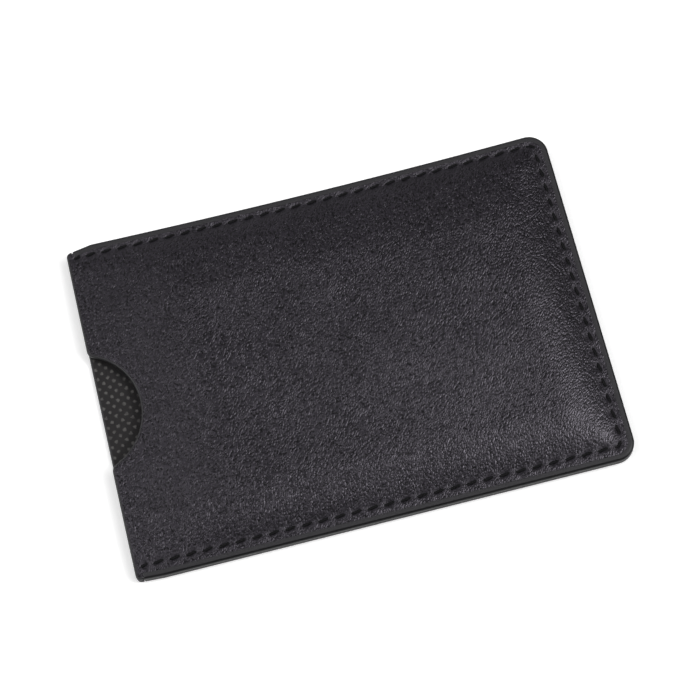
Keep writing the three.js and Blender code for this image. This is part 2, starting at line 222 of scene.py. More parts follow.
def closed_side():
    """Counter-clockwise along the near side, round the closed end and back along the far side."""
    end_x = HALF_LENGTH - CLOSED_CORNER_RADIUS
    corner_y = HALF_WIDTH - CLOSED_CORNER_RADIUS
    far_x = np.linspace(FAR_SIDE_END_X, FAR_SIDE_START_X, FAR_SIDE_POINTS)
    return np.concatenate([
        [[FAR_SIDE_START_X, -HALF_WIDTH]],
        arc((end_x, -corner_y), CLOSED_CORNER_RADIUS, -math.pi / 2, 0),
        arc((end_x, corner_y), CLOSED_CORNER_RADIUS, 0, math.pi / 2),
        np.stack([far_x, HALF_WIDTH - far_draw(far_x)], 1),
    ])


def notch():
    """The thumb notch from its far lip to its near one: part of a circle centred outside the mouth."""
    radius = (NOTCH_WIDTH ** 2 / 4 + NOTCH_DEPTH ** 2) / (2 * NOTCH_DEPTH)
    centre_x = -HALF_LENGTH + NOTCH_DEPTH - radius
    chord_angle = math.atan2(NOTCH_WIDTH / 2, -HALF_LENGTH - centre_x)
    turn = chord_angle - NOTCH_LIP_RADIUS / radius
    round_part = arc((centre_x, 0), radius, turn, -turn)
    edge = NOTCH_WIDTH / 2
    far_lip = bend((-HALF_LENGTH, edge + NOTCH_LIP_RADIUS), (-HALF_LENGTH, edge), round_part[0])
    near_lip = far_lip[::-1] * [1, -1]
    return np.concatenate([far_lip, round_part[1:-1], near_lip])


def mouth_side(notched):
    """Counter-clockwise from the far side, round the far corner, along the mouth to the near side."""
    far_corner = np.array([-HALF_LENGTH, HALF_WIDTH - FAR_MOUTH_TRIM])
    near_corner = np.array([-HALF_LENGTH, -HALF_WIDTH + NEAR_MOUTH_TRIM])
    far_start = np.array([FAR_SIDE_START_X, HALF_WIDTH])
    near_start = np.array([FAR_SIDE_START_X, -HALF_WIDTH])
    down = np.array([0, MOUTH_CORNER_RADIUS])
    far_turn = towards(far_corner, far_start, MOUTH_CORNER_RADIUS)
    near_turn = towards(near_corner, near_start, MOUTH_CORNER_RADIUS)
    pieces = [bend(far_turn, far_corner, far_corner - down)]
    if notched:
        pieces.append(notch())
    pieces.append(bend(near_corner + down, near_corner, near_turn))
    return np.concatenate(pieces)


def panel_outline(notched):
    return ring_of_points(np.concatenate([closed_side(), mouth_side(notched)]), RING_STEP)


def inset(loop, distance):
    """A closed loop moved inwards along its own normals."""
    return loop + distance * to_left(directions(loop, closed=True))


def seam_line():
    """From the far mouth corner along the far side, round the closed end and back along the near side."""
    start_x = -HALF_LENGTH + SEAM_FROM_MOUTH
    turn_x = HALF_LENGTH - END_SEAM_INSET - SEAM_TURN_RADIUS
    far_y = HALF_WIDTH - FAR_SEAM_INSET
    far_x = np.linspace(start_x, FAR_SIDE_END_X, FAR_SEAM_POINTS)
    line = np.concatenate([
        np.stack([far_x, far_y - far_draw(far_x)], 1),
        arc((turn_x, far_y - SEAM_TURN_RADIUS), SEAM_TURN_RADIUS, math.pi / 2, 0),
        arc((turn_x, SEAM_NEAR_Y + SEAM_TURN_RADIUS), SEAM_TURN_RADIUS, 0, -math.pi / 2),
        [[start_x, SEAM_NEAR_Y]],
    ])
    return evenly(line, round(lengths_along(line)[-1] / TRACE_STEP) + 1)


def search_tree(points):
    """A tree that finds the nearest of a set of points in the plane."""
    tree = KDTree(len(points))
    for number, (x, y) in enumerate(points):
        tree.insert((x, y, 0), number)
    tree.balance()
    return tree


class Trace:
    """Measures how far points lie from a line, on which side, and how far along it."""

    def __init__(self, points, closed=False):
        self.points = points
        self.inward = to_left(directions(points, closed))
        self.along = lengths_along(points)
        self.tree = search_tree(points)

    def measure(self, x, y):
        nearest = np.array([self.tree.find((px, py, 0))[1] for px, py in zip(x, y)])
        offset = np.stack([x, y], 1) - self.points[nearest]
        side = np.sum(offset * self.inward[nearest], axis=1)
        return self.along[nearest], side


seam = Trace(seam_line())
seam.inward = -seam.inward  # the seam runs clockwise, so the panel's middle is on its right
seam_length = seam.along[-1]
stitch_count = round((seam_length - 2 * END_STITCH) / STITCH_PITCH)
seam_holes = np.concatenate([
    [0],
    np.linspace(END_STITCH, seam_length - END_STITCH, stitch_count + 1),
    [seam_length],
])


def stitch_place(along):
    """How far a place on the seam lies from the middle of its stitch, as a share of half a stitch."""
    number = np.clip(np.searchsorted(seam_holes, along, side="right") - 1, 0, len(seam_holes) - 2)
    start = seam_holes[number]
    end = seam_holes[number + 1]
    return (along - (start + end) / 2) / ((end - start) / 2)


# Heights of the layers

def from_seams(x, y):
    """How far a place lies inside the seam along the far side, the near side and the closed end."""
    return SWELL_FAR_Y - far_draw(x) - y, y - SWELL_NEAR_Y, SWELL_END_X - x


def inside_seam(x, y, runs):
    """0 on the seam and outside it, rising to 1 the given runs inside it. The mouth has no seam."""
    level = 1
    for distance, run in zip(from_seams(x, y), runs):
        level = level * smooth(distance, 0, run)
    return level


def seam_dip(x, y):
    """0 on the seam, rising steeply to 1 just inside it, where the stitches pull the leather down."""
    level = 1
    for distance in from_seams(x, y):
        level = level * (1 - (1 - np.clip(distance / DIP_RUN, 0, 1)) ** 2)
    return level


def front_face(x, y):
    """The front dips at the seam and swells inside it, and lies lower towards the mouth."""
    crown = MOUTH_CROWN + (PUFFED * CROWN - MOUTH_CROWN) * smooth(x + HALF_LENGTH, 0, MOUTH_RUN)
    swell = DIP_SHARE * seam_dip(x, y) + (1 - DIP_SHARE) * inside_seam(x, y, (FAR_RUN, NEAR_RUN, END_RUN))
    return RIM_TOP + crown * swell


def back_face(x, y):
    return BACK_LIFT * (1 - inside_seam(x, y, (BACK_RUN, BACK_RUN, BACK_RUN)))


PADDING_LOW = np.array([
    -HALF_LENGTH + PADDING_FROM_MOUTH,
    SEAM_NEAR_Y + PADDING_FROM_SEAM,
])
PADDING_HIGH = np.array([
    HALF_LENGTH - END_SEAM_INSET - PADDING_FROM_SEAM,
    HALF_WIDTH - FAR_SIDE_DRAW - FAR_SEAM_INSET - PADDING_FROM_SEAM,
])


def padding_depth(x, y):
    depth = PADDING_THICKNESS
    for spot, axis in ((x, 0), (y, 1)):
        depth = depth * smooth(spot - PADDING_LOW[axis], -PADDING_LEAD, PADDING_SKIVE)
        depth = depth * smooth(PADDING_HIGH[axis] - spot, -PADDING_LEAD, PADDING_SKIVE)
    return depth


def front_lining_top(x, y):
    return front_face(x, y) - LEATHER_THICKNESS - 2 * GLUE_LINE - padding_depth(x, y)


def back_lining_bottom(x, y):
    return back_face(x, y) + LEATHER_THICKNESS + 2 * GLUE_LINE + padding_depth(x, y)


# Sculpted relief of the leather's face

FLANGE_GROOVE_DEPTH = 0.05
FLANGE_GROOVE_WIDTH = 0.7
PUCKER_DEPTH = 0.03
PUCKER_REACH = 1.3
# Reach of the painted shade and duller gloss around each stitch
STITCH_SHADE_HALF_LENGTH = 1.4
STITCH_SHADE_HALF_WIDTH = 0.75
STITCH_SHADE_SHIFT = 0.15
NEAR_FALL = 0.14
NEAR_FALL_CURVE = 1.5
EDGE_ROUND = 0.3
EDGE_DROP = 0.06
SLANT_ANGLE = math.atan(STITCH_SLANT * 2 * math.pi / STITCH_PITCH)


def around_stitch(x, y):
    """Places measured along and across the nearest slanted stitch, then along and across the seam."""
    along, side = seam.measure(x, y)
    from_middle = stitch_place(along) * STITCH_PITCH / 2
    lengthwise = from_middle * math.cos(SLANT_ANGLE) - side * math.sin(SLANT_ANGLE)
    sidewise = from_middle * math.sin(SLANT_ANGLE) + side * math.cos(SLANT_ANGLE)
    return lengthwise, sidewise, from_middle, side


def stitch_relief(x, y):
    """The pull of the stitches: a slanted well under each, a shallow groove and puckers beside them."""
    lengthwise, sidewise, from_middle, side = around_stitch(x, y)
    at_end = smooth(x, SWELL_END_X - END_WELL_BLEND[0], SWELL_END_X - END_WELL_BLEND[1])
    half_length = WELL_HALF_LENGTH + (END_WELL_HALF_LENGTH - WELL_HALF_LENGTH) * at_end
    half_width = WELL_HALF_WIDTH + (END_WELL_HALF_WIDTH - WELL_HALF_WIDTH) * at_end
    well = np.exp(-(lengthwise / half_length) ** 4 - (sidewise / half_width) ** 2)
    groove = np.exp(-(side / FLANGE_GROOVE_WIDTH) ** 2)
    wave = np.cos(2 * math.pi * from_middle / STITCH_PITCH)
    pucker = wave * np.exp(-(side / PUCKER_REACH) ** 2)
    return -WELL_DEPTH * well - FLANGE_GROOVE_DEPTH * groove - PUCKER_DEPTH * pucker


def stitch_shade_mask(x, y):
    """1 around a stitch, mostly on its inner side, and 0 away from it: where the stitch wells get painted
    shade and a duller gloss.
    """
    lengthwise, sidewise, _, _ = around_stitch(x, y)
    shifted = sidewise - STITCH_SHADE_SHIFT
    return np.exp(-(lengthwise / STITCH_SHADE_HALF_LENGTH) ** 4 - (shifted / STITCH_SHADE_HALF_WIDTH) ** 2)


def near_fall(y):
    """The near flange falls away towards its edge."""
    return NEAR_FALL * np.clip((SEAM_NEAR_Y - y) / NEAR_SEAM_INSET, 0, 1) ** NEAR_FALL_CURVE


def edge_relief(edge, x, y):
    """The leather is pressed down where it runs under the edge paint."""
    distance = np.abs(edge.measure(x, y)[1])
    return -EDGE_DROP * np.clip(1 - distance / EDGE_ROUND, 0, 1) ** 2


# Long soft waves of the front: wave length, direction in degrees, phase and height
FRONT_WAVES = (
    (31, 20, 0.6, 0.035),
    (23, 75, 2.1, 0.03),
    (17, 130, 4, 0.016),
    (13, 50, 1.2, 0.01),
)
BULGE_PLACE = (25.7, 2.9)
BULGE_REACH = (28, 21.4)
BULGE_HEIGHT = 0.6


def front_relief(x, y):
    inside = inside_seam(x, y, (RELIEF_RUN, RELIEF_RUN, RELIEF_RUN))
    waves = 0
    for length, heading, phase, height in FRONT_WAVES:
        way = math.radians(heading)
        distance = x * math.cos(way) + y * math.sin(way)
        waves = waves + height * np.sin(2 * math.pi * distance / length + phase)
    along = (x - BULGE_PLACE[0]) / BULGE_REACH[0]
    across = (y - BULGE_PLACE[1]) / BULGE_REACH[1]
    bulge = BULGE_HEIGHT * np.exp(-(along ** 2 + across ** 2))
    return inside * (waves + bulge)


# Meshes

def within(points, loop):
    """Which points lie inside a closed loop."""
    found = np.zeros(len(points), bool)
    after = np.roll(loop, -1, axis=0)
    for (ax, ay), (bx, by) in zip(loop, after):
        spans = (ay > points[:, 1]) != (by > points[:, 1])
        if ay != by:
            crossing = ax + (points[:, 1] - ay) * (bx - ax) / (by - ay)
            found ^= spans & (points[:, 0] < crossing)
    return found


def lattice(low, high, step):
    """Staggered points between two corners."""
    rows = np.arange(low[1], high[1], step * math.sqrt(3) / 2)
    points = []
    for number, y in enumerate(rows):
        x = np.arange(low[0] + (number % 2) * step / 2, high[0], step)
        points.append(np.stack([x, np.full(len(x), y)], 1))
    return np.concatenate(points)


def filling(loop, step, window=None, window_step=None):
    """Points inside a loop, clear of it by most of a step, and closer together inside the window."""
    points = lattice(loop.min(axis=0), loop.max(axis=0), step)
    if window is not None:
        low, high = np.array(window)
        outside = np.any((points < low - step / 2) | (points > high + step / 2), axis=1)
        points = np.concatenate([points[outside], lattice(low, high, window_step)])
    points = points[within(points, loop)]
    tree = search_tree(loop)
    gap = np.array([tree.find((x, y, 0))[2] for x, y in points])
    return points[gap > (window_step or step) * FILL_CLEARANCE]


INSIDE_ONLY = 1  # the kind of triangulation that keeps what lies inside its loop
SAME_POINT = 1e-6


def triangles_inside(loop, points):
    """Triangles between a loop and the points inside it, numbered loop first."""
    count = len(loop)
    corners = [tuple(point) for point in np.concatenate([loop, points])]
    edges = [(i, (i + 1) % count) for i in range(count)]
    _, _, faces, sources, _, _ = delaunay_2d_cdt(corners, edges, [], INSIDE_ONLY, SAME_POINT)
    return [tuple(sources[corner][0] for corner in face) for face in faces]


def ring_faces(rings, count):
    """Faces between rings of that many points each, one ring after another."""
    faces = []
    for start in range(0, (rings - 1) * count, count):
        for i in range(count):
            j = (i + 1) % count
            faces.append((start + i, start + j, start + count + j, start + count + i))
    return faces


def panel_mesh(loop, insets, fine, coarse, step, window=None, window_step=None):
    """Points and faces of a closed sheet: fine rings along its edge and a fill inside them on its shown
    face, at the fine heights, and a coarser far face at the coarse heights."""
    half = np.abs(loop).max(axis=0)
    rings = [loop * (1 - distance / half) for distance in insets]
    count = len(loop)
    inner = rings[-1]
    inner_start = count * (len(rings) - 1)
    inside = filling(inner, step, window, window_step)
    shown = np.concatenate(rings + [inside])
    faces = ring_faces(len(rings), count)
    for face in triangles_inside(inner, inside):
        faces.append(tuple(corner + inner_start for corner in face))
    border = loop[::UNDERSIDE_STRIDE]
    hidden = np.concatenate([border, filling(border, UNDERSIDE_STEP)])
    base = len(shown)
    for face in triangles_inside(border, hidden[len(border):]):
        faces.append(tuple(corner + base for corner in reversed(face)))
    for number in range(len(border)):
        first = number * UNDERSIDE_STRIDE
        edge = [(first + i) % count for i in range(UNDERSIDE_STRIDE + 1)]
        after = (number + 1) % len(border)
        faces.append((base + number, base + after, *reversed(edge)))
    heights = np.concatenate([fine(*shown.T), coarse(*hidden.T)])
    points = np.column_stack([np.concatenate([shown, hidden]), heights])
    if fine(*loop[:1].T)[0] < coarse(*loop[:1].T)[0]:
        faces = [tuple(reversed(face)) for face in faces]
    return points, faces


def sweep_mesh(sections):
    """Points and faces of a closed bar: rings of points along a path, with both ends capped."""
    rings, count = sections.shape[:2]
    faces = ring_faces(rings, count)
    faces.append(tuple(reversed(range(count))))
    faces.append(tuple(range((rings - 1) * count, rings * count)))
    return sections.reshape(-1, 3), faces


def place(name, mesh, material, node):
    """Makes a piece from points in millimetres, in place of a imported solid."""
    points, faces = mesh
    data = bpy.data.meshes.new(name)
    data.from_pydata((points * MM).tolist(), [], faces)
    data.validate()
    data.shade_smooth()
    data.materials.append(material)
    piece = bpy.data.objects.new(name, data)
    bpy.context.scene.collection.objects.link(piece)
    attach(piece, BODY)
    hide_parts(node)
    return piece


def mark(piece, name, values):
    """Stores a value on each point of a piece, for its finish to read."""
    marks = piece.data.attributes.new(name, "FLOAT", "POINT")
    marks.data.foreach_set("value", values)


# Shader wiring

def plug(tree, socket, value):
    if isinstance(value, Wire):
        tree.links.new(value.socket, socket)
    else:
        socket.default_value = value


class Wire:
    """A shader socket whose Python operators add Math nodes."""

    def __init__(self, tree, socket):
        self.tree = tree
        self.socket = socket

    def math(self, operation, first, second):
        node = self.tree.nodes.new("ShaderNodeMath")
        node.operation = operation
        plug(self.tree, node.inputs[0], first)
        plug(self.tree, node.inputs[1], second)
        return Wire(self.tree, node.outputs[0])

    def __add__(self, other):
        return self.math("ADD", self, other)

    def __radd__(self, other):
        return self.math("ADD", other, self)

    def __sub__(self, other):
        return self.math("SUBTRACT", self, other)

    def __rsub__(self, other):
        return self.math("SUBTRACT", other, self)

    def __mul__(self, other):
        return self.math("MULTIPLY", self, other)

    def __rmul__(self, other):
        return self.math("MULTIPLY", other, self)

    def __pow__(self, other):
        return self.math("POWER", self, other)

    def __rpow__(self, other):
        return self.math("POWER", other, self)

    def most(self, other):
        return self.math("MAXIMUM", self, other)


class Finish:
    """The one shader of a material or of the world, and the nodes that feed it."""

    def __init__(self, name, world=None):
        self.owner = world or bpy.data.materials.new(name)
        self.owner.use_nodes = True
        self.tree = self.owner.node_tree
        self.shader = self.tree.nodes["Background" if world else "Principled BSDF"]

    def node(self, kind, settings, sockets, output=0):
        """Adds a node, sets it, then fills its sockets, and gives one of its outputs."""
        node = self.tree.nodes.new("ShaderNode" + kind)
        for name, value in settings.items():
            setattr(node, name, value)
        for name, value in sockets.items():
            plug(self.tree, node.inputs[name], value)
        return Wire(self.tree, node.outputs[output])

    def place_in_mm(self, turn=0, stretch=(1, 1, 1)):
        """The part's own place in millimetres, turned about Z and then stretched."""
        here = self.node("TexCoord", {}, {}, "Object")
        per_metre = tuple(1 / (MM * share) for share in stretch)
        turned = self.node("VectorRotate", {"rotation_type": "Z_AXIS"}, {"Vector": here, "Angle": turn})
        return self.node("VectorMath", {"operation": "MULTIPLY"}, {0: turned, 1: per_metre})

    def noise(self, where, size, detail=2, roughness=0.5, distortion=0):
        sockets = {
            "Vector": where,
            "Scale": 1 / size,
            "Detail": detail,
            "Roughness": roughness,
            "Distortion": distortion,
        }
        return self.node("TexNoise", {}, sockets)

    def swayed(self, where, source, size, detail, reach):
        """A place moved about by a noise of that size, read at the source."""
        sway = self.node("TexNoise", {}, {"Vector": source, "Scale": 1 / size, "Detail": detail}, "Color")
        return self.node("VectorMath", {"operation": "MULTIPLY_ADD"}, {0: sway, 1: reach, 2: where})

    def between(self, value, low, high, to_low=0, to_high=1):
        sockets = {0: value, 1: low, 2: high, 3: to_low, 4: to_high}
        return self.node("MapRange", {"interpolation_type": "SMOOTHSTEP"}, sockets)

    def blend(self, share, first, second):
        settings = {"data_type": "RGBA"}
        return self.node("Mix", settings, {0: share, 6: first, 7: second}, 2)

    def attribute(self, name):
        return self.node("Attribute", {"attribute_name": name}, {}, "Fac")

    def bump(self, height, strength, distance):
        """A bump of a height that runs from 0 to 1, in millimetres."""
        return self.node("Bump", {}, {"Height": height, "Strength": strength, "Distance": distance * MM})

    def set(self, **sockets):
        for name, value in sockets.items():
            plug(self.tree, self.shader.inputs[name.replace("_", " ")], value)
        return self.owner


def rgb(red, green, blue):
    return (red, green, blue, 1)


# Finishes

# Painted shade around the stitch wells, stored on the leather's points
STITCH_SHADE_MARK = "stitch_shade"
# Painted highlight on the thin film of edge paint, stored on the paint's points
FILM_HIGHLIGHT_MARK = "film_highlight"

GRAIN_TURN = math.radians(36)
GRAIN_STRETCH = (1, 2.2, 1)
GRAIN_SIZE = 0.235
GRAIN_DEPTH = 0.112
GRAIN_SWAY = (0.2, 0.2, 0)
GRAIN_SWAY_SIZE = 1.3
UNEVEN_SIZE = 2.4  # the broad unevenness under the grain
UNEVEN_SHARE = 0.06
PATCH_SIZE = 9  # patches of slightly different tint and gloss
PATCH_RANGE = (0.35, 0.65)
CREASE_RANGE = (0.4, 0.58)  # the grain's height from the floor of a crease to a crown
LEATHER_DARK = rgb(0.012, 0.0103, 0.014)
LEATHER_LIGHT = rgb(0.0149, 0.0128, 0.0174)
# Painted shade: the floors of the grain's creases are much darker than its crowns
CREASE_SHADE_COLOUR = rgb(0.0015, 0.0013, 0.0019)
# Painted shade: the dark colour of the stitch wells, and how far it is mixed in
STITCH_SHADE_COLOUR = rgb(0.004, 0.0036, 0.0046)
STITCH_SHADE_SHARE = 0.6
GLOSS_TINT = rgb(1, 0.93, 1.07)


def leather_finish():
    """Black glossy leather with a fine grain, drawn out across the panel and lightly uneven, with painted
    shade in the grain's creases and around the stitches.
    """
    finish = Finish("black_leather")
    plain = finish.place_in_mm()
    drawn_out = finish.place_in_mm(GRAIN_TURN, GRAIN_STRETCH)
    where = finish.swayed(drawn_out, plain, GRAIN_SWAY_SIZE, detail=2, reach=GRAIN_SWAY)
    creases = finish.noise(where, GRAIN_SIZE, detail=0)
    uneven = finish.noise(plain, UNEVEN_SIZE, detail=2)
    patches = finish.noise(plain, PATCH_SIZE, detail=3)
    crown = finish.blend(finish.between(patches, *PATCH_RANGE), LEATHER_DARK, LEATHER_LIGHT)
    # Painted shade in the grain's creases, fading to the crown colour on the grain's tops
    colour = finish.blend(finish.between(creases, *CREASE_RANGE), CREASE_SHADE_COLOUR, crown)
    # Painted shade around the stitches darkens the colour; the same mark also makes the gloss rougher and
    # thinner there
    stitch_shade = finish.attribute(STITCH_SHADE_MARK)
    return finish.set(
        Base_Color=finish.blend(STITCH_SHADE_SHARE * stitch_shade, colour, STITCH_SHADE_COLOUR),
        Roughness=0.24 + 0.08 * creases + 0.32 * stitch_shade,
        Specular_IOR_Level=0.45,
        Specular_Tint=GLOSS_TINT,
        Coat_Weight=(0.1 + 0.2 * patches) * (1 - 0.7 * stitch_shade),
        Coat_Roughness=0.42,
        Normal=finish.bump(creases + UNEVEN_SHARE * uneven, strength=1, distance=GRAIN_DEPTH),
    )


DOT_PITCH = 1.5
DOT_RADIUS = 0.42
DOT_RISE = 0.07
DOT_FADE = (1.15, 0.4)  # where a dot starts to show and where it is full, as shares of its radius
DOT_WEAR = 0.45  # what is left of a dot's colour where it is most worn
DOT_TURN = math.radians(45)
DOT_SWAY = (0.55, 0.55, 0)
DOT_SWAY_SIZE = 0.5
LINING_FIBRE_SIZE = 0.12
LINING_FIBRE_DEPTH = 0.05
LINING_MOTTLE_SIZE = 0.8
LINING_MOTTLE_RANGE = (0.3, 0.6)
LINING_COLOUR = rgb(0.0125, 0.011, 0.0118)
DOT_COLOUR = rgb(0.078, 0.074, 0.072)


def lining_finish():
    """Black non-woven lining with small pressed dots in diagonal rows."""
    finish = Finish("black_dotted_lining")
    plain = finish.place_in_mm()
    turned = finish.place_in_mm(DOT_TURN)
    level = finish.node("VectorMath", {"operation": "MULTIPLY"}, {0: turned, 1: (1, 1, 0)})
    where = finish.swayed(level, level, DOT_SWAY_SIZE, detail=1, reach=DOT_SWAY)
    half_pitch = (DOT_PITCH / 2, DOT_PITCH / 2, 0)
    shifted = finish.node("VectorMath", {"operation": "ADD"}, {0: where, 1: half_pitch})
    middle = finish.node("VectorMath", {"operation": "SNAP"}, {0: shifted, 1: (DOT_PITCH, DOT_PITCH, 1)})
    distance = finish.node("VectorMath", {"operation": "DISTANCE"}, {0: where, 1: middle}, "Value")
    fibres = finish.noise(plain, LINING_FIBRE_SIZE, detail=3, roughness=0.7)
    mottle = finish.noise(plain, LINING_MOTTLE_SIZE, detail=2)
    worn = finish.between(mottle, *LINING_MOTTLE_RANGE, DOT_WEAR, 1)
    dot = worn * finish.between(distance, DOT_RADIUS * DOT_FADE[0], DOT_RADIUS * DOT_FADE[1])
    return finish.set(
        Base_Color=finish.blend(dot, LINING_COLOUR, DOT_COLOUR),
        Roughness=0.85 - 0.25 * dot + 0.1 * mottle,
        Normal=finish.bump(fibres, strength=0.8, distance=LINING_FIBRE_DEPTH),
    )


PAINT_RUN_SIZE = 1.4
PAINT_FINE_SIZE = 0.25
PAINT_FINE_SHARE = 0.3
PAINT_WEAR_SIZE = 4
PAINT_WEAR_RANGE = (0.4, 0.7)
PAINT_RELIEF = 0.03
PAINT_DARK = rgb(0.006, 0.0058, 0.0064)
PAINT_WORN = rgb(0.009, 0.0087, 0.0095)
# Painted highlight: the thin film of paint on the leather is much paler than the paint on the edge
FILM_HIGHLIGHT_COLOUR = rgb(0.035, 0.034, 0.0367)


def paint_finish():
    """Black edge paint with the soft unevenness of brushed coats, and a painted highlight where it is a
    thin film on the leather.
    """
    finish = Finish("black_edge_paint")
    where = finish.place_in_mm()
    runs = finish.noise(where, PAINT_RUN_SIZE, detail=2)
    fine = finish.noise(where, PAINT_FINE_SIZE, detail=2)
    wear = finish.noise(where, PAINT_WEAR_SIZE, detail=3)
    wall = finish.blend(finish.between(wear, *PAINT_WEAR_RANGE), PAINT_DARK, PAINT_WORN)
    return finish.set(
        # Painted highlight where the paint is a thin film
        Base_Color=finish.blend(finish.attribute(FILM_HIGHLIGHT_MARK), wall, FILM_HIGHLIGHT_COLOUR),
        Roughness=0.36 + 0.1 * runs,
        Specular_IOR_Level=0.2,
        Normal=finish.bump(runs + PAINT_FINE_SHARE * fine, strength=0.6, distance=PAINT_RELIEF),
    )


THREAD_FIBRE_SIZE = 0.06
THREAD_FIBRE_DEPTH = 0.03
THREAD_DARK = rgb(0.003, 0.003, 0.0034)
THREAD_LIGHT = rgb(0.008, 0.008, 0.0088)


def thread_finish():
    """Black twisted polyester thread, almost matt."""
    finish = Finish("black_thread")
    fibres = finish.noise(finish.place_in_mm(), THREAD_FIBRE_SIZE, detail=2)
    return finish.set(
        Base_Color=finish.blend(fibres, THREAD_DARK, THREAD_LIGHT),
        Roughness=0.65 + 0.2 * fibres,
        Specular_IOR_Level=0.15,
        Normal=finish.bump(fibres, strength=0.6, distance=THREAD_FIBRE_DEPTH),
    )


FELT_FIBRE_SIZE = 0.3
FELT_FIBRE_DEPTH = 0.08
FELT_DARK = rgb(0.5, 0.48, 0.43)
FELT_LIGHT = rgb(0.7, 0.68, 0.63)


def padding_finish():
    """Off-white felt wadding."""
    finish = Finish("felt_wadding")
    where = finish.place_in_mm()
    fibres = finish.noise(where, FELT_FIBRE_SIZE, detail=4, roughness=0.7, distortion=1.5)
    return finish.set(
        Base_Color=finish.blend(fibres, FELT_DARK, FELT_LIGHT),
        Roughness=0.9 + 0.1 * fibres,
        Normal=finish.bump(fibres, strength=1, distance=FELT_FIBRE_DEPTH),
    )


# Leather panels

EDGE_INSETS = (0, 0.05, 0.12, 0.22, 0.36)
SEAM_INSETS = np.arange(0.55, 4.3, 0.17)
SLOPE_INSETS = (4.55, 4.9, 5.4, 6, 6.7, 7.4, 8.2)
PANEL_INSETS = np.concatenate([EDGE_INSETS, SEAM_INSETS, SLOPE_INSETS])

front_loop = panel_outline(notched=True)
back_loop = panel_outline(notched=False)
front_cut = inset(front_loop, PAINT_THICKNESS + GLUE_LINE)
back_cut = inset(back_loop, PAINT_THICKNESS + GLUE_LINE)


def loop_trace(loop):
    closed = np.concatenate([loop, loop[:1]])
    count = round(lengths_along(closed)[-1] / TRACE_STEP)
    return Trace(evenly(closed, count)[:-1], closed=True)


def leather_panel(name, node, cut, shown, hidden, material):
    """The leather of one panel, marked for the painted shade and duller gloss around its stitches."""
    mesh = panel_mesh(cut, PANEL_INSETS, shown, hidden, FILL_STEP)
    piece = place(name, mesh, material, node)
    mark(piece, STITCH_SHADE_MARK, stitch_shade_mask(*mesh[0].T[:2]))
    return piece


def front_leather(material):
    edge = loop_trace(front_cut)

    def shown(x, y):
        relief = stitch_relief(x, y) + edge_relief(edge, x, y) + front_relief(x, y) - near_fall(y)
        return front_face(x, y) + relief

    def hidden(x, y):
        return front_face(x, y) - LEATHER_THICKNESS

    return leather_panel("front_leather_skin", "front_leather", front_cut, shown, hidden, material)


def back_leather(material):
    edge = loop_trace(back_cut)

    def shown(x, y):
        return back_face(x, y) - stitch_relief(x, y) - edge_relief(edge, x, y)

    def hidden(x, y):
        return back_face(x, y) + LEATHER_THICKNESS

    return leather_panel("back_leather_skin", "back_leather", back_cut, shown, hidden, material)


# Linings

LINING_INSETS = (0, 0.06, 0.2, 0.45, 0.8)
LINING_STEP = 1.4
DOT_STEP = 0.15
DOT_WINDOW_SPARE = 1
DOT_WINDOW_HALF = NOTCH_WIDTH / 2 + DOT_WINDOW_SPARE
DOT_WINDOW = (  # the part of the lining that the notch shows, from corner to corner
    (-HALF_LENGTH, -DOT_WINDOW_HALF),
    (-HALF_LENGTH + NOTCH_DEPTH + 2 * DOT_WINDOW_SPARE, DOT_WINDOW_HALF),
)


def dots(x, y):
    """Height of the pressed dots, in diagonal rows."""
    along = x * math.cos(DOT_TURN) - y * math.sin(DOT_TURN)
    across = x * math.sin(DOT_TURN) + y * math.cos(DOT_TURN)
    from_dot = np.hypot(
        along - DOT_PITCH * np.round(along / DOT_PITCH),
        across - DOT_PITCH * np.round(across / DOT_PITCH),
    )
    return DOT_RISE * smooth(DOT_RADIUS - from_dot, 0, DOT_RADIUS)


def back_lining(material):
    def shown(x, y):
        return back_lining_bottom(x, y) + LINING_THICKNESS + dots(x, y)

    mesh = panel_mesh(back_cut, LINING_INSETS, shown, back_lining_bottom, LINING_STEP, DOT_WINDOW, DOT_STEP)
    return place("back_lining_cloth", mesh, material, "back_lining")


def front_lining(material):
    def shown(x, y):
        return front_lining_top(x, y) - LINING_THICKNESS

    mesh = panel_mesh(front_cut, LINING_INSETS, shown, front_lining_top, LINING_STEP)
    return place("front_lining_cloth", mesh, material, "front_lining")


# Padding

PADDING_INSETS = (0, 0.3, 0.8, 1.6, 3, 5)
PADDING_RING_STEP = 0.66


def padding_loop():
    low, high, radius = PADDING_LOW, PADDING_HIGH, PADDING_CORNER_RADIUS
    quarter = math.pi / 2
    corners = np.concatenate([
        arc((high[0] - radius, low[1] + radius), radius, -quarter, 0),
        arc((high[0] - radius, high[1] - radius), radius, 0, quarter),
        arc((low[0] + radius, high[1] - radius), radius, quarter, 2 * quarter),
        arc((low[0] + radius, low[1] + radius), radius, 2 * quarter, 3 * quarter),
    ])
    return ring_of_points(corners, PADDING_RING_STEP)


def front_padding(material):
    def outer(x, y):
        return front_face(x, y) - LEATHER_THICKNESS - GLUE_LINE

    def inner(x, y):
        return outer(x, y) - padding_depth(x, y)

    mesh = panel_mesh(padding_loop(), PADDING_INSETS, outer, inner, LINING_STEP)
    return place("front_padding_felt", mesh, material, "front_padding")


def back_padding(material):
    def outer(x, y):
        return back_face(x, y) + LEATHER_THICKNESS + GLUE_LINE

    def inner(x, y):
        return outer(x, y) + padding_depth(x, y)

    mesh = panel_mesh(padding_loop(), PADDING_INSETS, outer, inner, LINING_STEP)
    return place("back_padding_felt", mesh, material, "back_padding")


# Edge paint: beads along the cut edges

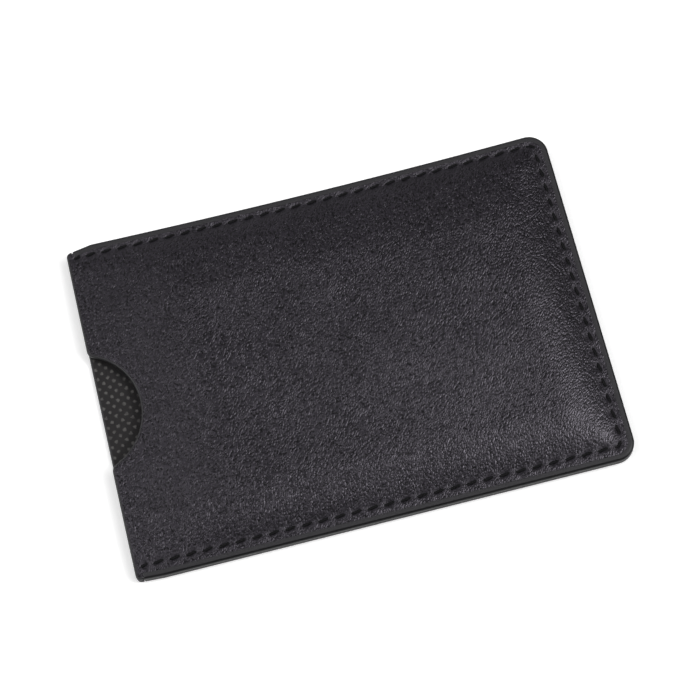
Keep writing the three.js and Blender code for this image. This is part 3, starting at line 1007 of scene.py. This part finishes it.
BEAD = (  # inset from the outline and height over the leather, from the overlap's end to the wall
    (1.3, -0.01),
    (1.22, 0.012),
    (0.95, 0.02),
    (0.65, 0.016),
    (0.48, 0.002),
    (0.34, -0.03),
    (0.2, -0.1),
    (0.1, -0.21),
    (0.035, -0.38),
    (0, -0.6),
)
GROOVE = (  # inset from the outline and height over the seam's middle
    (0, 0.5),
    (0.01, 0.3),
    (0.04, 0.16),
    (0.09, 0.05),
    (0.1, 0),
)
PAINT_BACK = 0.43  # inset of the paint's hidden back
PAINT_BACK_DEPTH = 0.2  # and its depth under the leather's face
SEWN_OVERLAP = 1.3  # how far the paint reaches onto the leather
MOUTH_OVERLAP = 0.6
# The thin film beyond these insets gets the painted highlight
SEWN_FILM_START = 0.4  # inset where the thick paint of the edge turns into a thin film
MOUTH_FILM_START = 0.15
PAINT_STEP = 0.35
MOUTH_PAINT_STEP = PAINT_STEP / 1.5
NOTCH_SPARE_LENGTH = 1
NOTCH_SPARE_WIDTH = 2


def part_of_loop(loop, keep):
    """The one run of a closed loop's points that is kept, in order."""
    start = next(i for i in range(len(loop)) if keep[i] and not keep[i - 1])
    rolled = np.roll(loop, -start, axis=0)
    return rolled[: int(keep.sum())]


def paint_sections(path, profile, top, bottom):
    """A closed profile at each point of a path: insets, and heights from the top, middle or bottom."""
    left = to_left(directions(path))
    rings = []
    for distance, level, height in profile:
        spots = path + distance * left
        high = top(*spots.T)
        low = bottom(*spots.T)
        base = {"top": high, "middle": (high + low) / 2, "bottom": low}[level]
        rings.append(np.column_stack([spots, base + height]))
    return np.stack(rings, axis=1)


def bead_profile(overlap):
    """The painted edge from the top overlap round to the bottom one, and back inside the panels."""
    upper = [(distance, "top", height) for distance, height in BEAD if distance <= overlap]
    lower = [(distance, "bottom", -height) for distance, height in reversed(BEAD) if distance <= overlap]
    inside = [(PAINT_BACK, "bottom", PAINT_BACK_DEPTH), (PAINT_BACK, "top", -PAINT_BACK_DEPTH)]
    return upper, lower, inside


def place_paint(name, node, path, profile, film_start, top, bottom, material):
    """A run of edge paint, marked where it is only a film on the leather, which gets a painted highlight.
    """
    profile = profile[::-1]
    sections = paint_sections(path, profile, top, bottom)
    piece = place(name, sweep_mesh(sections), material, node)
    film_highlight = [float(distance > film_start) for distance, _, _ in profile]
    mark(piece, FILM_HIGHLIGHT_MARK, np.tile(film_highlight, len(path)))
    return piece


def sewn_edge_paint(material):
    keep = back_loop[:, 0] > PAINT_SPLIT_X + GLUE_LINE / 2
    run = part_of_loop(back_loop, keep)
    path = evenly(run, round(lengths_along(run)[-1] / PAINT_STEP))
    upper, lower, inside = bead_profile(SEWN_OVERLAP)
    groove = [(distance, "middle", height) for distance, height in GROOVE]
    groove += [(distance, "middle", -height) for distance, height in reversed(GROOVE[:-1])]
    profile = upper + groove + lower + inside

    def top(x, y):
        return RIM_TOP - near_fall(y)

    def bottom(x, y):
        return np.full(len(x), BACK_LIFT)

    names = ("sewn_edge_bead", "sewn_edge_paint")
    return place_paint(*names, path, profile, SEWN_FILM_START, top, bottom, material)


def mouth_path(loop):
    """The part of a panel's outline along the mouth, the notch included."""
    x, y = loop.T
    along_mouth = x < PAINT_SPLIT_X - GLUE_LINE / 2
    near_notch = np.abs(y) < NOTCH_WIDTH / 2 + NOTCH_SPARE_WIDTH
    in_notch = near_notch & (x < -HALF_LENGTH + NOTCH_DEPTH + NOTCH_SPARE_LENGTH)
    run = part_of_loop(loop, along_mouth | in_notch)
    return evenly(run, round(lengths_along(run)[-1] / MOUTH_PAINT_STEP))


def mouth_paint(name, node, loop, top, bottom, material):
    path = mouth_path(loop)
    upper, lower, inside = bead_profile(MOUTH_OVERLAP)
    profile = upper + lower + inside
    return place_paint(name, node, path, profile, MOUTH_FILM_START, top, bottom, material)


def front_mouth_paint(material):
    def bottom(x, y):
        return front_face(x, y) - PANEL_THICKNESS

    return mouth_paint("front_mouth_bead", "front_mouth_paint", front_loop, front_face, bottom, material)


def back_mouth_paint(material):
    def top(x, y):
        return back_face(x, y) + PANEL_THICKNESS

    return mouth_paint("back_mouth_bead", "back_mouth_paint", back_loop, top, back_face, material)


# Threads

THREAD_SIDES = 12
THREAD_STEP = 0.14
PLIES = 3
PLY_DEPTH = 0.1


def thread_mesh(face, dip, sign):
    """A twisted thread along the seam: level in the middle of each stitch, and down to the other thread
    at each hole. The sign is 1 on the front and -1 on the back."""
    count = round(seam_length / THREAD_STEP)
    along = np.linspace(0, seam_length, count + 1)
    share = stitch_place(along)
    numbers = np.clip((along / TRACE_STEP).astype(int), 0, len(seam.points) - 1)
    line = np.stack([np.interp(along, seam.along, seam.points[:, axis]) for axis in range(2)], 1)
    left = seam.inward[numbers]
    level = face - sign * THREAD_SINK
    drop = smooth(np.abs(share) * STITCH_PITCH / 2, THREAD_FLAT, STITCH_PITCH / 2)
    height = level + (dip - level) * drop
    middle = np.column_stack([line - STITCH_SLANT * np.sin(math.pi * share)[:, None] * left, height])
    tangent = directions(middle)
    across = np.column_stack([left, np.zeros(len(left))])
    across = across - np.sum(across * tangent, axis=1, keepdims=True) * tangent
    across = across / np.linalg.norm(across, axis=1, keepdims=True)
    upward = np.cross(tangent, across)
    travelled = np.concatenate([[0], np.cumsum(np.linalg.norm(np.diff(middle, axis=0), axis=1))])
    rings = []
    for side in range(THREAD_SIDES):
        angle = 2 * math.pi * side / THREAD_SIDES
        turn = 2 * math.pi * travelled / THREAD_LAY
        radius = THREAD_RADIUS * (1 - PLY_DEPTH + PLY_DEPTH * np.cos(PLIES * (angle - turn)))[:, None]
        rings.append(middle + radius * (math.cos(angle) * across + math.sin(angle) * upward))
    return sweep_mesh(np.stack(rings, axis=1))


def needle_thread(material):
    mesh = thread_mesh(RIM_TOP, SEAM_MIDDLE + THREAD_RADIUS, 1)
    return place("needle_thread_twist", mesh, material, "needle_thread")


def bobbin_thread(material):
    mesh = thread_mesh(BACK_LIFT, SEAM_MIDDLE - THREAD_RADIUS, -1)
    return place("bobbin_thread_twist", mesh, material, "bobbin_thread")


# Camera at the photograph's viewing angle

CAMERA_FOCAL = 2178.3  # in pixels of the 700 pixel wide image
IMAGE_WIDTH = 700
SENSOR_WIDTH = 36
CAMERA_AZIMUTH = math.radians(-4.598)
CAMERA_ELEVATION = math.radians(71.423)
CAMERA_ROLL = math.radians(-9.634)
CAMERA_DISTANCE = 441.95
CAMERA_TARGET = np.array([0.983, 0.539, 1.5])
CAMERA_NEAREST = 10


def add_camera():
    flat = math.cos(CAMERA_ELEVATION)
    back = np.array([
        math.sin(CAMERA_AZIMUTH) * flat,
        -math.cos(CAMERA_AZIMUTH) * flat,
        math.sin(CAMERA_ELEVATION),
    ])
    right = np.array([math.cos(CAMERA_AZIMUTH), math.sin(CAMERA_AZIMUTH), 0])
    up = np.cross(back, right)
    rolled_right = right * math.cos(CAMERA_ROLL) + up * math.sin(CAMERA_ROLL)
    rolled_up = up * math.cos(CAMERA_ROLL) - right * math.sin(CAMERA_ROLL)
    spot = (CAMERA_TARGET + CAMERA_DISTANCE * back) * MM
    pose = np.eye(4)
    pose[:3] = np.column_stack([rolled_right, rolled_up, back, spot])
    data = bpy.data.cameras.new("camera")
    data.sensor_width = SENSOR_WIDTH
    data.lens = CAMERA_FOCAL * SENSOR_WIDTH / IMAGE_WIDTH
    data.clip_start = CAMERA_NEAREST * MM
    camera = bpy.data.objects.new("camera", data)
    camera.matrix_world = Matrix(pose.tolist())
    bpy.context.scene.collection.objects.link(camera)
    bpy.context.scene.camera = camera


# Studio

FLOOR_HALF = 4000
FLOOR_GAP = 0.03
FLOOR_TONE_SIZE = 40
FLOOR_DARK = rgb(0.95, 0.95, 0.95)
FLOOR_LIGHT = rgb(0.96, 0.96, 0.96)
FLOOR_LIFT = 0.35  # extra brightness of the floor where it is seen, straight or in a reflection
SKY = (  # each soft lamp: azimuth from +X and tilt from straight up in degrees, narrowness, strength
    (11, 16, 150, 3.2),  # overhead, towards the closed end
    (0, 27, 80, 8.6),
    (343, 42, 150, 23),  # key from the near right
    (325, 50, 60, 6.6),
    (150, 29, 150, 4.6),  # across from the key, above the mouth
    (180, 58, 9, 3.1),  # soft fills beyond the mouth and behind the part
    (104, 68, 10, 0.8),
)


def floor_finish():
    """Matt white, a little brighter to the eye than the light it throws back onto the part."""
    finish = Finish("white_floor")
    tone = finish.noise(finish.place_in_mm(), FLOOR_TONE_SIZE, detail=2)
    seen = 0
    for ray in ("Is Camera Ray", "Is Glossy Ray", "Is Transmission Ray"):
        seen = seen + finish.node("LightPath", {}, {}, ray)
    lift = finish.blend(seen, rgb(0, 0, 0), rgb(FLOOR_LIFT, FLOOR_LIFT, FLOOR_LIFT))
    return finish.set(
        Base_Color=finish.blend(tone, FLOOR_DARK, FLOOR_LIGHT),
        Roughness=0.9,
        Specular_IOR_Level=0,
        Emission_Color=lift,
        Emission_Strength=1,
    )


def add_floor(material):
    half = FLOOR_HALF * MM
    level = -FLOOR_GAP * MM
    corners = [(x * half, y * half, level) for x, y in ((-1, -1), (1, -1), (1, 1), (-1, 1))]
    data = bpy.data.meshes.new("floor")
    data.from_pydata(corners, [], [(0, 1, 2, 3)])
    data.materials.append(material)
    floor = bpy.data.objects.new("floor", data)
    bpy.context.scene.collection.objects.link(floor)


def add_world():
    """Soft lobes of light from above, as from large panels with soft edges, and white behind them."""
    world = bpy.data.worlds.new("studio")
    bpy.context.scene.world = world
    sky = Finish("studio", world)
    here = sky.node("TexCoord", {}, {}, "Generated")
    light = 0
    for azimuth, tilt, power, strength in SKY:
        turn = math.radians(azimuth)
        lean = math.radians(tilt)
        axis = (math.sin(lean) * math.cos(turn), math.sin(lean) * math.sin(turn), math.cos(lean))
        near = sky.node("VectorMath", {"operation": "DOT_PRODUCT"}, {0: here, 1: axis}, "Value")
        light = light + strength * near.most(0) ** power
    seen = sky.node("LightPath", {}, {}, "Is Camera Ray")
    sky.set(Color=rgb(1, 1, 1), Strength=light + seen * (1 - light))


add_camera()
leather = leather_finish()
lining = lining_finish()
paint = paint_finish()
thread = thread_finish()
felt = padding_finish()

front_leather(leather)
back_leather(leather)
back_cloth = back_lining(lining)
front_cloth = front_lining(lining)
front_pad = front_padding(felt)
back_pad = back_padding(felt)
sewn_edge_paint(paint)
front_mouth_paint(paint)
back_mouth_paint(paint)
needle_thread(thread)
bobbin_thread(thread)

panel_cut = (2 * (HALF_WIDTH - PAINT_THICKNESS) * MM, 2 * (HALF_LENGTH - PAINT_THICKNESS) * MM)

add_floor(floor_finish())
add_world()
bpy.context.scene.view_settings.view_transform = "Standard"
